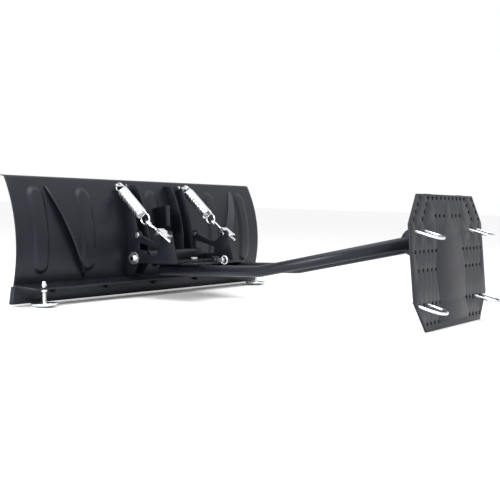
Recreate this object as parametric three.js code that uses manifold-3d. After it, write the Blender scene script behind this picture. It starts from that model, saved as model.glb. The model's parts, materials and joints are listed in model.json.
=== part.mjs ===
// ATV plow blade: a curved blade on a tripping, swivelling head, two bent push arms
// and an octagonal plate with U-bolts that clamps to the vehicle.
// Millimetres, +Z up. The blade faces -Y, the arms run towards +Y, +X is the driver's left.
// Every piece is first drawn with the push arms' front halves level and the cutting
// edge at the origin. The whole is then tipped so that both skid shoes and the lower
// edge of the mount plate stand on z = 0.
import * as THREE from 'three';
import { mergeVertices } from 'three/examples/jsm/utils/BufferGeometryUtils.js';
import Module from 'manifold-3d';

const wasm = await Module();
wasm.setup();

// ---------------------------------------------------------------- driving dimensions
const BLADE_LENGTH = 1270;
const BLADE_TOP_Z = 393;
const BLADE_TOP_Y = -11;
const SHEET = 3;                  // moldboard thickness
const BLADE_SAGITTA = 31;
const TOP_LIP = 16;
const GAP = 0.3;                  // gap between touching pieces

const STACK_TILT = THREE.MathUtils.degToRad(11);   // lean of the flat lower stack
const EDGE_THICK = 9;
const EDGE_HEIGHT = 55;
const FLAT_BOTTOM = 8;            // moldboard's lower edge, measured up the flat
const FLAT_TOP = 66;              // where the flat turns into the arc
const ANGLE_THICK = 5;
const ANGLE_TOP = 64;
const ANGLE_REACH = 70;
const ANGLE_CHAMFER_X = 30;
const ANGLE_CHAMFER_N = 54;

const BEAD_CENTRES = [-537, -335, 0, 335, 537];
const BEAD_RADIUS = 32;
const BEAD_SLOPE = 13;
const BEAD_RISE = 6;
const BEAD_BOTTOM_Z = 88;
const BEAD_TOP_Z = 361;

const RIB_TOP = { x: 480, z: 366 };
const RIB_BOTTOM = { x: 338, z: 68 };
const RIB_THICK = 5;
const RIB_DEPTH = 30;
const RIB_END_DEPTH = 8;
const RIB_SPLAY = THREE.MathUtils.degToRad(42);      // lean of the ribs towards the blade's ends

const EDGE_BOLT_X = [-476, -238, 0, 238, 476];
const EDGE_BOLT_UP = 38;          // height of the bolts up the flat

const SKID_X = 563;
const SKID_Y = 77;
const SHOE_RADIUS = 42;
const SHOE_BOTTOM_Z = -12;
const STEM_RADIUS = 6;
const STEM_TOP_Z = 68;

const POST_INNER_X = 92;
const POST_OUTER_X = 150;
const POST_SHEET = 4;
const PIVOT = { y: 77, z: 123 };  // trip pivot
const PIVOT_LUG_RADIUS = 21;
const TRIP_BOLT_RADIUS = 6;
const WASHER_SHEET = 3.5;
const STOP = { y: 96, z: 202 };
const STOP_RADIUS = 7;

const PLATE_INNER_X = 152;        // swivel head's side plates
const SIDE_SHEET = 6;
const KING = { x: 0, y: 210 };
const BASE_BOTTOM_Z = 105.8;
const BASE_SHEET = 6;
const SECTOR_RADIUS = 82;
const NOTCH_ANGLES = [-25, -12.5, 0, 12.5, 25];
const NOTCH_WIDTH = 11;
const NOTCH_DEPTH = 10;
const KING_HOLE_RADIUS = 8.6;

const LIFT_SHEET = 5;
const LIFT_LIP = 20;

const SPRING_X = 178;
const SPRING_START = { y: 46.8, z: 353.8 };
const SPRING_END = { y: 133.3, z: 270.8 };
const SPRING_RADIUS = 20;
const SPRING_WIRE = 4.6;
const TOP_HOOK_RADIUS = 13.5;
const LOW_HOOK_RADIUS = 17.7;
const HOOK_NECK = 5;
const SPRING_PIN_RADIUS = 4;
const ROD_RADIUS = 3.6;
const BRACKET_BOLT_RADIUS = 4;
const ROD_TIP = { y: 258, z: 177 };

const ARM_X = 114;
const ARM_RADIUS = 18;
const ARM_WALL = 3;
const ARM_Z = 82;
const ARM_FRONT_Y = 162;
const ARM_BEND_Y = 568;
const ARM_SLOPE = 0.173;
const ARM_END_Y = 1108;
const SECTOR_BOTTOM_Z = 100.3;
const SECTOR_SHEET = 5;
const ARM_BOLT_Y = [262, 314];
const SUNK_HEAD_Z = 102.7;
const SUNK_HEAD_RADIUS = 9;
const ARM_BOLT_RADIUS = 5;
const ARM_NUT_RADIUS = 8.75;
const ARM_NUT_TOP_Z = 93.2;

const LOCK_PIN_Z = 112.5;
const LOCK_PIN_RADIUS = 4.8;
const PIN_CLEARANCE = 1;          // the pin is drawn back, just clear of the sector's rim
const GUIDE_FRONT_Y = 298;
const GUIDE_REAR_Y = 311;
const GUIDE_HALF_WIDTH = 13;
const GUIDE_ABOVE_PIN = 12;
const EYE_FRONT_Y = 322.6;
const EYE_REAR_Y = 339;
const EYE_HALF = 6;
const EYE_HOLE_RADIUS = 4.5;
const RING_CENTRE_Y = 343;
const RING_RADIUS = 13;
const RING_WIRE = 2.5;

const PLATE_CENTRE = { y: 1154, z: 117.6 };
const PLATE_TILT = THREE.MathUtils.degToRad(-3.4);
const PLATE_HALF_WIDTH = 256;
const PLATE_HALF_HEIGHT = 187.3;
const PLATE_CORNER_U = 62;
const PLATE_CORNER_V = 82;
const PLATE_SHEET = 6;
const HOLE_RADIUS = 5.5;
const ARM_PIVOT_Y = 1086;
const EAR_RADIUS = 40;
const EAR_SHEET = 5;
const EAR_BOTTOM_V = -10;
const EAR_TOP_V = 189;
const EAR_TOP_DEPTH = 14;
const EAR_SIDE_GAP = 0.6;         // arm tube to ear
const ARM_PIN_RADIUS = 6;
const PIN_HEAD_INBOARD = 3.4;     // the pin's head, from the tube's middle
const BOLT_SLACK = 0.4;           // radial clearance of a bolt or pin in its hole

const UBOLT_ROD = 4;
const UBOLT_SPREAD = 30;
const UBOLT_REACH = 70;
const UBOLT_DROOP = THREE.MathUtils.degToRad(20);
const UBOLT_UPPER = { u: 189, v: 86 };
const UBOLT_LOWER = { u: 201, v: -114 };

// ---------------------------------------------------------------- materials
const blackPaint = new THREE.MeshStandardMaterial({ color: 0x25272d, roughness: 0.45, metalness: 0.2 });
const zinc = new THREE.MeshStandardMaterial({ color: 0xc9ced2, roughness: 0.35, metalness: 0.9 });

// ---------------------------------------------------------------- solid helpers
function toSolid(geometry) {
  const plain = new THREE.BufferGeometry();
  plain.setAttribute('position', geometry.getAttribute('position').clone());
  if (geometry.index) plain.setIndex(geometry.index.clone());
  const merged = mergeVertices(plain, 1e-4);
  const triVerts = [];
  const index = merged.index.array;
  for (let i = 0; i < index.length; i += 3) {
    const [a, b, c] = [index[i], index[i + 1], index[i + 2]];
    if (a !== b && b !== c && c !== a) triVerts.push(a, b, c);
  }
  return new wasm.Manifold(new wasm.Mesh({
    numProp: 3,
    vertProperties: new Float32Array(merged.getAttribute('position').array),
    triVerts: new Uint32Array(triVerts),
  }));
}

function toGeometry(solid) {
  const mesh = solid.getMesh();
  const geometry = new THREE.BufferGeometry();
  const positions = new Float32Array(mesh.numVert * 3);
  for (let i = 0; i < mesh.numVert; i++) {
    for (let k = 0; k < 3; k++) positions[3 * i + k] = mesh.vertProperties[mesh.numProp * i + k];
  }
  geometry.setAttribute('position', new THREE.BufferAttribute(positions, 3));
  geometry.setIndex(new THREE.BufferAttribute(new Uint32Array(mesh.triVerts), 1));
  return geometry;
}

function joined(solids) {
  return solids.reduce((whole, next) => whole.add(next));
}

function mirrored(solid) {
  const geometry = toGeometry(solid);
  geometry.scale(-1, 1, 1);
  const index = geometry.index.array;
  for (let i = 0; i < index.length; i += 3) {
    [index[i], index[i + 1]] = [index[i + 1], index[i]];
  }
  return toSolid(geometry);
}

// A basis matrix whose columns are where the drawing's x, y and extrusion go.
function basis(right, up, out, origin = [0, 0, 0]) {
  const matrix = new THREE.Matrix4().makeBasis(
    new THREE.Vector3(...right), new THREE.Vector3(...up), new THREE.Vector3(...out));
  matrix.setPosition(...origin);
  return matrix;
}

// A flat plate from a closed outline, with polygon holes, placed by a matrix.
function plate(outline, holes, thickness, matrix) {
  const shape = new THREE.Shape(outline.map(([a, b]) => new THREE.Vector2(a, b)));
  for (const hole of holes) {
    shape.holes.push(new THREE.Path(hole.map(([a, b]) => new THREE.Vector2(a, b))));
  }
  const geometry = new THREE.ExtrudeGeometry(shape, { depth: thickness, bevelEnabled: false });
  geometry.applyMatrix4(matrix);
  return toSolid(geometry);
}

// Drawn in (Y, Z) and thickened along +X from x.
function sidePlate(outline, holes, x, thickness) {
  return plate(outline, holes, thickness, basis([0, 1, 0], [0, 0, 1], [1, 0, 0], [x, 0, 0]));
}

// Drawn in (X, Y) and thickened upwards from z.
function flatPlate(outline, holes, z, thickness) {
  return plate(outline, holes, thickness, basis([1, 0, 0], [0, 1, 0], [0, 0, 1], [0, 0, z]));
}

function circle(a, b, radius, sides = 12) {
  return Array.from({ length: sides }, (_, i) => {
    const angle = (2 * Math.PI * (i + 0.5)) / sides;
    return [a + radius * Math.cos(angle), b + radius * Math.sin(angle)];
  });
}

function arcPoints(a, b, radius, from, to, steps) {
  return Array.from({ length: steps + 1 }, (_, i) => {
    const angle = THREE.MathUtils.degToRad(from + ((to - from) * i) / steps);
    return [a + radius * Math.cos(angle), b + radius * Math.sin(angle)];
  });
}

function box(x0, x1, y0, y1, z0, z1) {
  const geometry = new THREE.BoxGeometry(x1 - x0, y1 - y0, z1 - z0);
  geometry.translate((x0 + x1) / 2, (y0 + y1) / 2, (z0 + z1) / 2);
  return toSolid(geometry);
}

// A round or hexagonal bar between two points.
function bar(start, end, radius, sides = 12) {
  const a = new THREE.Vector3(...start);
  const b = new THREE.Vector3(...end);
  const direction = b.clone().sub(a);
  const geometry = new THREE.CylinderGeometry(radius, radius, direction.length(), sides);
  geometry.applyQuaternion(new THREE.Quaternion().setFromUnitVectors(
    new THREE.Vector3(0, 1, 0), direction.clone().normalize()));
  geometry.translate((a.x + b.x) / 2, (a.y + b.y) / 2, (a.z + b.z) / 2);
  return toSolid(geometry);
}

// A bolt along a line: shank, hexagonal head at the start and nut near the end.
function bolt(start, end, radius, headLength, nutFrom, nutLength, across = 1.75) {
  const a = new THREE.Vector3(...start);
  const b = new THREE.Vector3(...end);
  const along = b.clone().sub(a).normalize();
  const at = (distance) => a.clone().addScaledVector(along, distance).toArray();
  const pieces = [
    bar(start, end, radius),
    bar(start, at(headLength), radius * across, 6),
  ];
  if (nutLength > 0) pieces.push(bar(at(nutFrom), at(nutFrom + nutLength), radius * across, 6));
  return joined(pieces);
}

// A round rod swept along a smooth line through the points.
function rod(points, radius, sides, steps) {
  const shape = new THREE.Shape(circle(0, 0, radius, sides).map(([a, b]) => new THREE.Vector2(a, b)));
  const geometry = new THREE.ExtrudeGeometry(shape, {
    extrudePath: new THREE.CatmullRomCurve3(points, false, 'centripetal'),
    steps,
    bevelEnabled: false,
  });
  return toSolid(geometry);
}

// ---------------------------------------------------------------- blade profile
// Coordinates up the flat lower stack (up) and through it (through), as [y, z].
function stackPoint(through, up) {
  const sin = Math.sin(STACK_TILT);
  const cos = Math.cos(STACK_TILT);
  return [up * sin + through * cos, up * cos - through * sin];
}

const sheetMiddle = EDGE_THICK + GAP + SHEET / 2;
const [arcStartY, arcStartZ] = stackPoint(sheetMiddle, FLAT_TOP);
const chordY = BLADE_TOP_Y - arcStartY;
const chordZ = BLADE_TOP_Z - arcStartZ;
const chord = Math.hypot(chordY, chordZ);
const ARC_RADIUS = (chord * chord / 4 + BLADE_SAGITTA ** 2) / (2 * BLADE_SAGITTA);
const towardRear = [chordZ / chord, -chordY / chord];
const ARC_CENTRE = {
  y: (BLADE_TOP_Y + arcStartY) / 2 - towardRear[0] * (ARC_RADIUS - BLADE_SAGITTA),
  z: (BLADE_TOP_Z + arcStartZ) / 2 - towardRear[1] * (ARC_RADIUS - BLADE_SAGITTA),
};

// Y of the sheet's rear face at height z, on the curved part.
function backY(z) {
  const radius = ARC_RADIUS + SHEET / 2;
  return ARC_CENTRE.y + Math.sqrt(radius * radius - (z - ARC_CENTRE.z) ** 2);
}

function beadRise(x, z) {
  let rise = 0;
  for (const centre of BEAD_CENTRES) {
    const nearestZ = THREE.MathUtils.clamp(z, BEAD_BOTTOM_Z + BEAD_RADIUS, BEAD_TOP_Z - BEAD_RADIUS);
    const distance = Math.hypot(x - centre, z - nearestZ);
    const fall = THREE.MathUtils.smoothstep(distance, BEAD_RADIUS - BEAD_SLOPE, BEAD_RADIUS);
    rise = Math.max(rise, BEAD_RISE * (1 - fall));
  }
  return rise;
}

// ---------------------------------------------------------------- spring line
const springLength = Math.hypot(SPRING_END.y - SPRING_START.y, SPRING_END.z - SPRING_START.z);
const springAlong = {
  y: (SPRING_END.y - SPRING_START.y) / springLength,
  z: (SPRING_END.z - SPRING_START.z) / springLength,
};
const pinFromBody = HOOK_NECK + 2 * TOP_HOOK_RADIUS - SPRING_WIRE / 2 - SPRING_PIN_RADIUS - GAP;
const SPRING_PIN = {
  y: SPRING_START.y - springAlong.y * pinFromBody,
  z: SPRING_START.z - springAlong.z * pinFromBody,
};
// Where the rod's hook bears on the far side of the lower loop.
const ROD_HOOK = {
  y: SPRING_END.y + springAlong.y * (HOOK_NECK + 2 * LOW_HOOK_RADIUS),
  z: SPRING_END.z + springAlong.z * (HOOK_NECK + 2 * LOW_HOOK_RADIUS),
};

// ---------------------------------------------------------------- moldboard
function moldboard() {
  const half = BLADE_LENGTH / 2;
  const columns = [-half];
  for (const centre of BEAD_CENTRES) {
    for (const offset of [-32, -19, 0, 19, 32]) columns.push(centre + offset);
  }
  columns.push(half);

  // The section as points with normals: flat, arc, forward lip.
  const section = [];
  const flatNormal = [Math.cos(STACK_TILT), -Math.sin(STACK_TILT)];
  section.push({ point: stackPoint(sheetMiddle, FLAT_BOTTOM), normal: flatNormal });
  const heights = [
    arcStartZ, 88, 96, 106, 120, 155, 190, 225, 260, 295, 329, 343, 353, 361, 377, BLADE_TOP_Z,
  ];
  for (const z of heights) {
    const radial = Math.sqrt(ARC_RADIUS ** 2 - (z - ARC_CENTRE.z) ** 2);
    section.push({
      point: [ARC_CENTRE.y + radial, z],
      normal: [radial / ARC_RADIUS, (z - ARC_CENTRE.z) / ARC_RADIUS],
    });
  }
  section.push({ point: [BLADE_TOP_Y - TOP_LIP, BLADE_TOP_Z + SHEET / 2], normal: [0, 1] });

  const positions = [];
  const rows = section.length;
  for (const side of [1, -1]) {
    for (const x of columns) {
      for (const { point, normal } of section) {
        const shift = beadRise(x, point[1]) + (side * SHEET) / 2;
        positions.push(x, point[0] + normal[0] * shift, point[1] + normal[1] * shift);
      }
    }
  }
  const layer = columns.length * rows;
  const at = (side, column, row) => side * layer + column * rows + row;
  const index = [];
  const quad = (a, b, c, d) => index.push(a, b, c, a, c, d);
  for (let column = 0; column + 1 < columns.length; column++) {
    for (let row = 0; row + 1 < rows; row++) {
      quad(at(0, column, row), at(0, column, row + 1), at(0, column + 1, row + 1), at(0, column + 1, row));
      quad(at(1, column, row), at(1, column + 1, row), at(1, column + 1, row + 1), at(1, column, row + 1));
    }
    quad(at(0, column, 0), at(0, column + 1, 0), at(1, column + 1, 0), at(1, column, 0));
    const top = rows - 1;
    quad(at(0, column, top), at(1, column, top), at(1, column + 1, top), at(0, column + 1, top));
  }
  const last = columns.length - 1;
  for (let row = 0; row + 1 < rows; row++) {
    quad(at(0, 0, row), at(1, 0, row), at(1, 0, row + 1), at(0, 0, row + 1));
    quad(at(0, last, row), at(0, last, row + 1), at(1, last, row + 1), at(1, last, row));
  }
  const geometry = new THREE.BufferGeometry();
  geometry.setAttribute('position', new THREE.BufferAttribute(new Float32Array(positions), 3));
  geometry.setIndex(index);
  return drilled(toSolid(geometry));
}

// Bolt holes of the cutting edge, through the whole lower stack.
function drilled(solid) {
  let result = solid;
  for (const x of EDGE_BOLT_X) {
    const [y0, z0] = stackPoint(-5, EDGE_BOLT_UP);
    const [y1, z1] = stackPoint(30, EDGE_BOLT_UP);
    result = result.subtract(bar([x, y0, z0], [x, y1, z1], 5.5));
  }
  return result;
}

function cuttingEdge() {
  const outline = [[0, 0], [EDGE_THICK, 0], [EDGE_THICK, EDGE_HEIGHT], [0, EDGE_HEIGHT]]
    .map(([through, up]) => stackPoint(through, up));
  return drilled(sidePlate(outline, [], -BLADE_LENGTH / 2, BLADE_LENGTH));
}

function bottomAngle() {
  const half = BLADE_LENGTH / 2;
  const front = EDGE_THICK + 2 * GAP + SHEET;
  const outline = [
    [front, 2], [front + ANGLE_THICK, 2],
    [front + ANGLE_THICK, ANGLE_TOP - ANGLE_THICK], [front + ANGLE_REACH, ANGLE_TOP - ANGLE_THICK],
    [front + ANGLE_REACH, ANGLE_TOP], [front, ANGLE_TOP],
  ].map(([through, up]) => stackPoint(through, up));
  let solid = drilled(sidePlate(outline, [], -half, BLADE_LENGTH));
  // Both rear corners of the upper leg are cut off at a slant.
  const [legEndY] = stackPoint(front + ANGLE_REACH, ANGLE_TOP);
  const cutter = flatPlate([
    [half + 5, legEndY - ANGLE_CHAMFER_N], [half + 5, legEndY + 5], [half - ANGLE_CHAMFER_X, legEndY + 5],
  ], [], 20, 60);
  solid = solid.subtract(cutter).subtract(mirrored(cutter));
  for (const side of [1, -1]) {
    solid = solid.subtract(bar([side * SKID_X, SKID_Y, 20], [side * SKID_X, SKID_Y, 90], STEM_RADIUS + 1.2));
  }
  return solid;
}

function edgeBolt(x) {
  const [y0, z0] = stackPoint(-4, EDGE_BOLT_UP);
  const [y1, z1] = stackPoint(30, EDGE_BOLT_UP);
  const nutFrom = 4 + EDGE_THICK + SHEET + ANGLE_THICK + 3 * GAP;
  return bolt([x, y0, z0], [x, y1, z1], 5, 4 - GAP, nutFrom, 8);
}

// ---------------------------------------------------------------- ribs
function rib() {
  const steps = 12;
  const length = Math.hypot(RIB_TOP.x - RIB_BOTTOM.x, RIB_TOP.z - RIB_BOTTOM.z);
  const across = [
    ((RIB_TOP.z - RIB_BOTTOM.z) / length) * (RIB_THICK / 2),
    (-(RIB_TOP.x - RIB_BOTTOM.x) / length) * (RIB_THICK / 2),
  ];
  const positions = [];
  for (let i = 0; i <= steps; i++) {
    const t = i / steps;
    const x = RIB_TOP.x + (RIB_BOTTOM.x - RIB_TOP.x) * t;
    const z = RIB_TOP.z + (RIB_BOTTOM.z - RIB_TOP.z) * t;
    const depth = RIB_END_DEPTH + (RIB_DEPTH - RIB_END_DEPTH) * Math.sin(Math.PI * t) ** 0.7;
    const clear = Math.max(...[-14, 0, 14].map((dz) => beadRise(x - 10, z + dz))) + 3 * GAP;
    for (const side of [1, -1]) {
      const px = x + side * across[0];
      const pz = z + side * across[1];
      const outerY = backY(z) + clear + depth * Math.cos(RIB_SPLAY);
      positions.push(px, backY(pz) + clear, pz, px + depth * Math.sin(RIB_SPLAY), outerY, pz);
    }
  }
  const index = [];
  const quad = (a, b, c, d) => index.push(a, b, c, a, c, d);
  for (let i = 0; i < steps; i++) {
    const o = 4 * i;
    quad(o, o + 4, o + 5, o + 1);
    quad(o + 2, o + 3, o + 7, o + 6);
    quad(o + 1, o + 5, o + 7, o + 3);
    quad(o, o + 2, o + 6, o + 4);
  }
  const e = 4 * steps;
  quad(0, 1, 3, 2);
  quad(e, e + 2, e + 3, e + 1);
  const geometry = new THREE.BufferGeometry();
  geometry.setAttribute('position', new THREE.BufferAttribute(new Float32Array(positions), 3));
  geometry.setIndex(index);
  return toSolid(geometry);
}

// ---------------------------------------------------------------- blade posts
const POST_BOTTOM_Z = 66;
const POST_TOP_Z = 378;

function postFrontEdge(offset) {
  const points = [];
  for (let z = POST_TOP_Z; z > POST_BOTTOM_Z; z -= 26) points.push([backY(z) + offset, z]);
  points.push([backY(POST_BOTTOM_Z) + offset, POST_BOTTOM_Z]);
  return points;
}

function post() {
  const rearEdge = [
    [62, POST_BOTTOM_Z], [82, 98],
    ...arcPoints(PIVOT.y, PIVOT.z, PIVOT_LUG_RADIUS, -38, 38, 5),
    [87, 160], [88.4, 200], [81, 243], [71, 285], [57, 329], [46, 355], [39, 371], [32, POST_TOP_Z],
  ];
  const outline = [...rearEdge, ...postFrontEdge(GAP)];
  const boltHole = circle(PIVOT.y, PIVOT.z, TRIP_BOLT_RADIUS + BOLT_SLACK);
  const pinHole = circle(SPRING_PIN.y, SPRING_PIN.z, SPRING_PIN_RADIUS + BOLT_SLACK, 8);
  const inner = sidePlate(outline, [boltHole], POST_INNER_X, POST_SHEET);
  const outer = sidePlate(outline, [boltHole, pinHole], POST_OUTER_X - POST_SHEET, POST_SHEET);
  const webOutline = [...postFrontEdge(GAP), ...postFrontEdge(GAP + POST_SHEET).reverse()].reverse();
  const web = sidePlate(webOutline, [], POST_INNER_X + 1, POST_OUTER_X - POST_INNER_X - 2);
  return joined([inner, outer, web]);
}

// The loop of each spring hangs on a pin through the post's outer wall.
function springPin() {
  return bolt(
    [POST_OUTER_X - POST_SHEET - 5, SPRING_PIN.y, SPRING_PIN.z],
    [SPRING_X + 12, SPRING_PIN.y, SPRING_PIN.z], SPRING_PIN_RADIUS, 5 - GAP, 42, 5);
}

function liftBracket() {
  const front = [];
  for (let z = 297; z > 222; z -= 15) front.push([backY(z) + BEAD_RISE + 2 * GAP, z]);
  const outline = [[98, 230], [98, 304], ...front, [backY(222) + BEAD_RISE + 2 * GAP, 222], [60, 214]];
  const web = sidePlate(outline, [], -LIFT_SHEET / 2, LIFT_SHEET);
  const lip = box(-LIFT_LIP / 2, LIFT_LIP / 2, 93, 98, 230, 304);
  return joined([web, lip]);
}

// ---------------------------------------------------------------- skids
const legDrop = Math.tan(STACK_TILT);
const [legCornerY, legCornerZ] = stackPoint(EDGE_THICK + 2 * GAP + SHEET, ANGLE_TOP);
const LEG_TOP_Z = legCornerZ - (SKID_Y - legCornerY) * legDrop;      // upper face at the skid
const LEG_BOTTOM_Z = LEG_TOP_Z - ANGLE_THICK / Math.cos(STACK_TILT);

function lathe(profile, segments, x, y) {
  const geometry = new THREE.LatheGeometry(profile.map(([r, z]) => new THREE.Vector2(r, z)), segments);
  geometry.rotateX(Math.PI / 2);
  geometry.translate(x, y, 0);
  return toSolid(geometry);
}

function skidShoe() {
  const b = SHOE_BOTTOM_Z;
  return lathe([
    [0, b], [16, b + 0.8], [30, b + 3.6], [38, b + 7.4], [SHOE_RADIUS, b + 12],
    [SHOE_RADIUS - 3, b + 13], [34, b + 9.2], [24, b + 6], [STEM_RADIUS + 5, b + 4.6],
    [STEM_RADIUS, b + 10], [STEM_RADIUS, STEM_TOP_Z - 2], [STEM_RADIUS - 2, STEM_TOP_Z], [0, STEM_TOP_Z],
  ], 20, SKID_X, SKID_Y);
}

const COLLAR_RADIUS = 9.5;
const collarSlack = COLLAR_RADIUS * legDrop + GAP;

function skidSpacer() {
  const top = LEG_BOTTOM_Z - collarSlack;
  const bore = STEM_RADIUS + BOLT_SLACK;
  return lathe([
    [bore, top - 8], [COLLAR_RADIUS, top - 8], [COLLAR_RADIUS, top], [bore, top], [bore, top - 8],
  ], 16, SKID_X, SKID_Y);
}

function skidNut() {
  const bottom = LEG_TOP_Z + collarSlack;
  const bore = STEM_RADIUS + BOLT_SLACK;
  return lathe([
    [bore, bottom], [COLLAR_RADIUS, bottom], [COLLAR_RADIUS, bottom + 3], [8, bottom + 6],
    [7.4, bottom + 9], [bore, bottom + 9], [bore, bottom],
  ], 16, SKID_X, SKID_Y);
}

// ---------------------------------------------------------------- swivel head
function headSide() {
  const outline = [
    [252, 170], [246, 206], [240, 213], [228, 212], [211, 192], [198, 181], [184, 175], [166, 178],
    [140, 189], [114, 200], [107, 213], [96, 217], [86, 213], [82, 200], [66, 150],
    ...arcPoints(PIVOT.y, PIVOT.z, PIVOT_LUG_RADIUS + 1, 150, 260, 6),
    [100, BASE_BOTTOM_Z], [268, BASE_BOTTOM_Z],
  ];
  const window_ = [[100, 177], [98, 153], [128, 147], [142, 131], [181, 131], [184, 153], [168, 160]];
  return sidePlate(outline, [
    circle(PIVOT.y, PIVOT.z, TRIP_BOLT_RADIUS + BOLT_SLACK),
    circle(STOP.y, STOP.z, STOP_RADIUS + BOLT_SLACK),
    circle(BRACKET_BOLT.y, BRACKET_BOLT.z, BRACKET_BOLT_RADIUS + BOLT_SLACK, 8),
    window_,
  ], PLATE_INNER_X, SIDE_SHEET);
}

function tripBolt() {
  const out = PLATE_INNER_X + SIDE_SHEET + GAP + WASHER_SHEET + GAP;
  return bolt([out + 8, PIVOT.y, PIVOT.z], [80, PIVOT.y, PIVOT.z], TRIP_BOLT_RADIUS, 8,
    out + 8 - (POST_INNER_X - GAP), 9, 1.75);
}

function tripWasher() {
  const out = PLATE_INNER_X + SIDE_SHEET + GAP;
  const bore = circle(PIVOT.y, PIVOT.z, TRIP_BOLT_RADIUS + BOLT_SLACK);
  return sidePlate(circle(PIVOT.y, PIVOT.z, 21.5, 20), [bore], out, WASHER_SHEET);
}

function stopBolt() {
  const out = PLATE_INNER_X + SIDE_SHEET + GAP;
  return joined([
    bar([POST_OUTER_X - POST_SHEET - 2, STOP.y, STOP.z], [out + 1, STOP.y, STOP.z], STOP_RADIUS),
    bar([out, STOP.y, STOP.z], [out + 6, STOP.y, STOP.z], 10, 6),
  ]);
}

function swivelBase() {
  const x = PLATE_INNER_X - GAP;
  const outline = [
    [-x, 103], [x, 103], [x, 258], [72, 258],
    ...arcPoints(KING.x, KING.y, SECTOR_RADIUS, 36, 144, 18),
    [-72, 258], [-x, 258],
  ];
  let solid = flatPlate(outline, [circle(KING.x, KING.y, KING_HOLE_RADIUS)], BASE_BOTTOM_Z, BASE_SHEET);
  for (const degrees of NOTCH_ANGLES) {
    const angle = THREE.MathUtils.degToRad(90 + degrees);
    const along = [Math.cos(angle), Math.sin(angle)];
    const across = [-along[1], along[0]];
    const corner = (r, s) => [
      KING.x + along[0] * r + across[0] * s, KING.y + along[1] * r + across[1] * s];
    const half = NOTCH_WIDTH / 2;
    const notch = [
      corner(SECTOR_RADIUS - NOTCH_DEPTH, half), corner(SECTOR_RADIUS - NOTCH_DEPTH, -half),
      corner(SECTOR_RADIUS + 8, -half), corner(SECTOR_RADIUS + 8, half)];
    solid = solid.subtract(flatPlate(notch, [], BASE_BOTTOM_Z - 5, BASE_SHEET + 10));
  }
  return solid;
}

// Bent cross piece between the side plates, with a rounded upper rear edge.
function crossChannel() {
  const bottom = BASE_BOTTOM_Z + BASE_SHEET + GAP;
  const outer = [[146, bottom], ...arcPoints(134, 136, 12, 0, 90, 4), [106, 148]];
  const inner = [[106, 143], ...arcPoints(134, 136, 7, 90, 0, 4), [141, bottom]];
  const x = PLATE_INNER_X - GAP;
  return sidePlate([...outer, ...inner], [], -x, 2 * x);
}

function kingpin() {
  const top = BASE_BOTTOM_Z + BASE_SHEET + GAP;
  const head = 9;
  const nutFrom = top + head - SECTOR_BOTTOM_Z + GAP;
  return bolt([KING.x, KING.y, top + head], [KING.x, KING.y, 84], 8, head, nutFrom, 10, 1.6);
}

// ---------------------------------------------------------------- springs and their rods
const rodDirection = new THREE.Vector3(0, ROD_TIP.y - ROD_HOOK.y, ROD_TIP.z - ROD_HOOK.z).normalize();
const rodAcross = new THREE.Vector3(0, -rodDirection.z, rodDirection.y);
const rodPoint = (along, across = 0, x = SPRING_X) => new THREE.Vector3(x, ROD_HOOK.y, ROD_HOOK.z)
  .addScaledVector(rodDirection, along).addScaledVector(rodAcross, across).setX(x);
const ROD_LENGTH = Math.hypot(ROD_TIP.y - ROD_HOOK.y, ROD_TIP.z - ROD_HOOK.z);
const BRACKET_FROM = 53;
const BRACKET_TO = 99;
const BRACKET_BOLT = rodPoint((BRACKET_FROM + BRACKET_TO) / 2, 0, 0);

function springBody() {
  const start = new THREE.Vector3(SPRING_X, SPRING_START.y, SPRING_START.z);
  const end = new THREE.Vector3(SPRING_X, SPRING_END.y, SPRING_END.z);
  const along = end.clone().sub(start).normalize();
  const up = new THREE.Vector3(0, -along.z, along.y);
  const length = end.distanceTo(start);
  const wire = SPRING_WIRE / 2;
  const tube = new THREE.LatheGeometry([
    [SPRING_RADIUS - SPRING_WIRE, 0], [SPRING_RADIUS, 0], [SPRING_RADIUS, length],
    [SPRING_RADIUS - SPRING_WIRE, length], [SPRING_RADIUS - SPRING_WIRE, 0],
  ].map(([r, h]) => new THREE.Vector2(r, h)), 16);
  tube.applyQuaternion(new THREE.Quaternion().setFromUnitVectors(new THREE.Vector3(0, 1, 0), along));
  tube.translate(start.x, start.y, start.z);
  // A hook is three quarters of a circle in the spring's own upright plane.
  const hook = (origin, outward, radius) => {
    const centre = origin.clone().addScaledVector(outward, radius + HOOK_NECK);
    const points = [origin.clone().addScaledVector(outward, -2).addScaledVector(up, SPRING_RADIUS - wire)];
    for (let degrees = 110; degrees >= -150; degrees -= 26) {
      const angle = THREE.MathUtils.degToRad(degrees);
      points.push(centre.clone()
        .addScaledVector(outward, radius * Math.cos(angle))
        .addScaledVector(up, radius * Math.sin(angle)));
    }
    return rod(points, wire, 8, 20);
  };
  return joined([
    toSolid(tube),
    hook(start, along.clone().negate(), TOP_HOOK_RADIUS),
    hook(end, along, LOW_HOOK_RADIUS),
  ]);
}

function springRod() {
  // The hook turns in the plane of the rod and X, around the spring's wire.
  const turn = SPRING_WIRE / 2 + ROD_RADIUS + 2 * GAP;
  const points = [rodPoint(9, 0, SPRING_X - turn)];
  for (let degrees = -90; degrees <= 90; degrees += 30) {
    const angle = THREE.MathUtils.degToRad(degrees);
    points.push(rodPoint(-turn * Math.cos(angle), 0, SPRING_X + turn * Math.sin(angle)));
  }
  points.push(rodPoint(16, 0, SPRING_X + turn * 0.6), rodPoint(30), rodPoint(50), rodPoint(ROD_LENGTH));
  const nut = bar(rodPoint(BRACKET_FROM + 3.4).toArray(), rodPoint(BRACKET_FROM + 10).toArray(), 6.5, 6);
  return joined([rod(points, ROD_RADIUS, 8, 30), nut]);
}

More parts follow.
